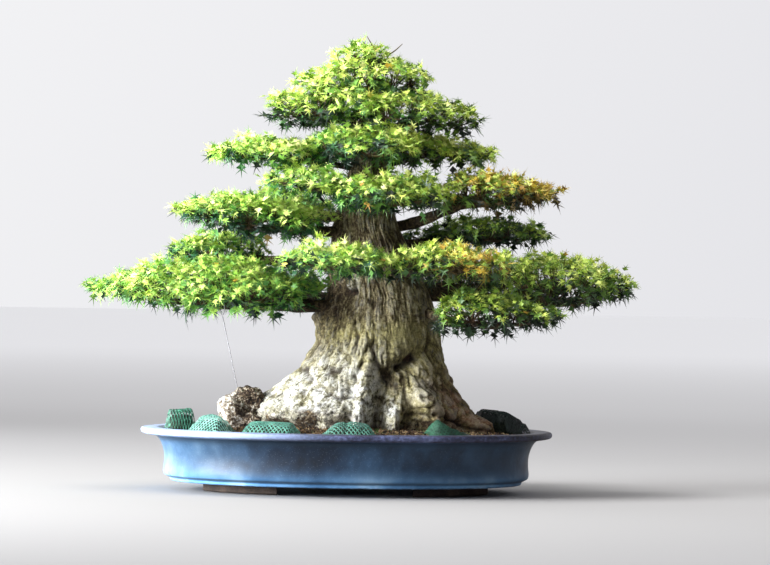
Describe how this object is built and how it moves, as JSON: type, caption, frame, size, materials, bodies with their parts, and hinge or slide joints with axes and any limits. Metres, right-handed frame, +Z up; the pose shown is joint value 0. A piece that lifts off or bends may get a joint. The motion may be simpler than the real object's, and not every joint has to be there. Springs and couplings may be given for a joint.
{
  "type": "japanese maple bonsai",
  "caption": "Broad-based Japanese maple bonsai with flared surface roots and layered pads of small lobed leaves, growing in an oval glazed tray pot.",
  "frame": {"origin": "middle of the whole tree's box in plan, at the level that the pot's feet stand on", "axes": "+Z up the trunk; the front of the tree faces -Y; +X runs along the pot's length, to the right as seen from the front"},
  "size_m": [0.9405, 0.6619, 0.7841],
  "materials": {
    "pot_glaze": "gloss",
    "drain_screen": "matte",
    "soil": "matte",
    "bark": "matte",
    "guy_wire": "satin",
    "leaf_green": "satin",
    "leaf_shaded": "satin",
    "leaf_turning": "satin",
    "feed_cake": "matte",
    "netting": "matte"
  },
  "bodies": {
    "root": {"pot": "pot_glaze", "drain_screen_left": "drain_screen", "drain_screen_right": "drain_screen", "soil": "soil", "trunk": "bark", "guy_wire": "guy_wire", "foliage_low_left": "leaf_green", "foliage_low_left_back": "leaf_shaded", "foliage_front_left": "leaf_green", "foliage_front_right": "leaf_green", "foliage_low_right": "leaf_green", "foliage_low_right_front": "leaf_green", "foliage_back_low_left": "leaf_shaded", "foliage_back_low": "leaf_shaded", "foliage_back_low_right": "leaf_shaded", "foliage_mid_left": "leaf_green", "foliage_right_dark": "leaf_shaded", "foliage_right_orange": "leaf_turning", "foliage_mid_front": "leaf_green", "foliage_back_mid_left": "leaf_shaded", "foliage_back_mid": "leaf_shaded", "foliage_upper_left": "leaf_green", "foliage_small_left": "leaf_green", "foliage_upper_right": "leaf_green", "foliage_upper_front": "leaf_green", "foliage_back_upper": "leaf_shaded", "foliage_high": "leaf_green", "foliage_top": "leaf_green", "foliage_apex": "leaf_green", "feed_cake_left_rim": "feed_cake", "netting_left_rim": "netting", "feed_cake_left_front": "feed_cake", "netting_left_front": "netting", "feed_cake_front_left": "feed_cake", "netting_front_left": "netting", "feed_cake_front_middle": "feed_cake", "netting_front_middle": "netting", "feed_cake_front_right": "feed_cake", "netting_front_right": "netting", "feed_cake_right": "feed_cake", "netting_right": "netting", "feed_cake_back_right": "feed_cake", "netting_back_right": "netting", "feed_cake_back_left": "feed_cake", "netting_back_left": "netting"}
  },
  "joints": []
}
